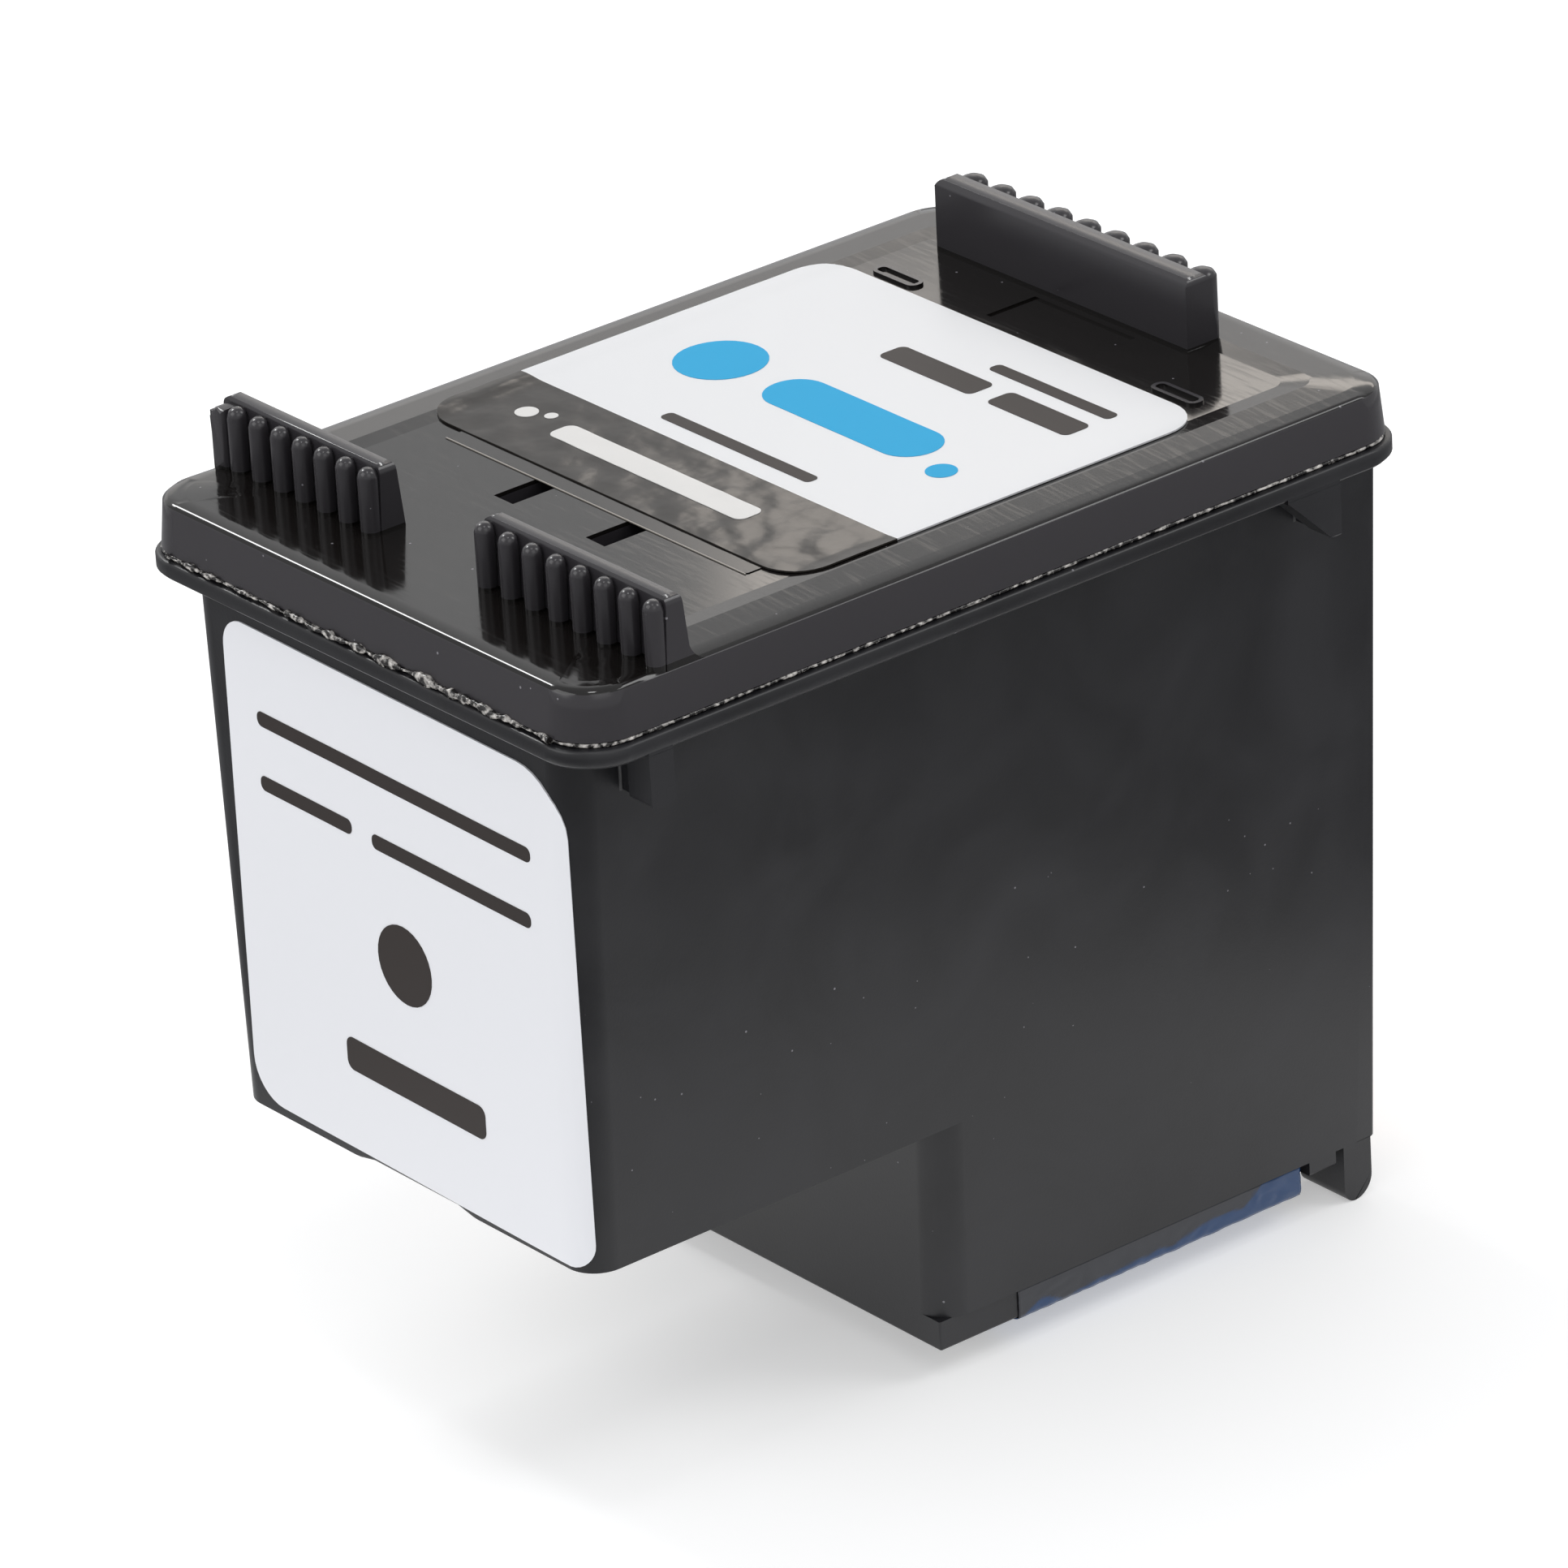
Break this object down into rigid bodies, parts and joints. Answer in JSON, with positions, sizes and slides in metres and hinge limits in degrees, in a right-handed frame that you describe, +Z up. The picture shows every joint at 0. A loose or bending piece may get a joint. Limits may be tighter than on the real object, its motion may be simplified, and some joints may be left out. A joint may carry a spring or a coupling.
{
  "type": "inkjet ink cartridge",
  "caption": "Foam-filled inkjet cartridge with a built-in print head: dark box with a flanged lid and finger grips, labelled top and front, and blue tape over the nozzles.",
  "frame": {"origin": "on the surface the cartridge rests on, under the middle of the flange's outline", "axes": "+Z up through the lid, +Y along the length from the labelled front end to the end with the contacts, +X across the width"},
  "size_m": [0.0354, 0.052, 0.0494],
  "materials": {
    "body_plastic": "dark grey moulded plastic, satin gloss",
    "lid_plastic": "dark grey moulded plastic, high gloss",
    "ink_foam": "open-cell foam soaked with ink",
    "filter_mesh": "fine woven stainless mesh",
    "silicon": "polished silicon",
    "nozzle_metal": "thin gold-coloured plate",
    "die_glue": "black adhesive",
    "flex_film": "amber polyimide film",
    "gold_contact": "gold-plated copper",
    "bead_resin": "black potting resin",
    "blue_film": "thin glossy blue film",
    "seal_film": "clear film over dark plastic",
    "label_face": "glossy coated paper label",
    "end_label_face": "glossy coated paper label",
    "seam_resin": "ragged squeezed-out adhesive"
  },
  "bodies": {
    "root": {"pen_body": "body_plastic", "lid": "lid_plastic", "foam_block": "ink_foam", "filter_screen": "filter_mesh", "printhead_die": "silicon", "nozzle_plate": "nozzle_metal", "die_adhesive": "die_glue", "encapsulant_beads": "bead_resin", "flex_circuit": "flex_film", "contact_pads": "gold_contact", "nozzle_tape": "blue_film", "vent_seal_film": "seal_film", "top_label": "label_face", "end_label": "end_label_face", "seam_adhesive": "seam_resin"}
  },
  "joints": []
}
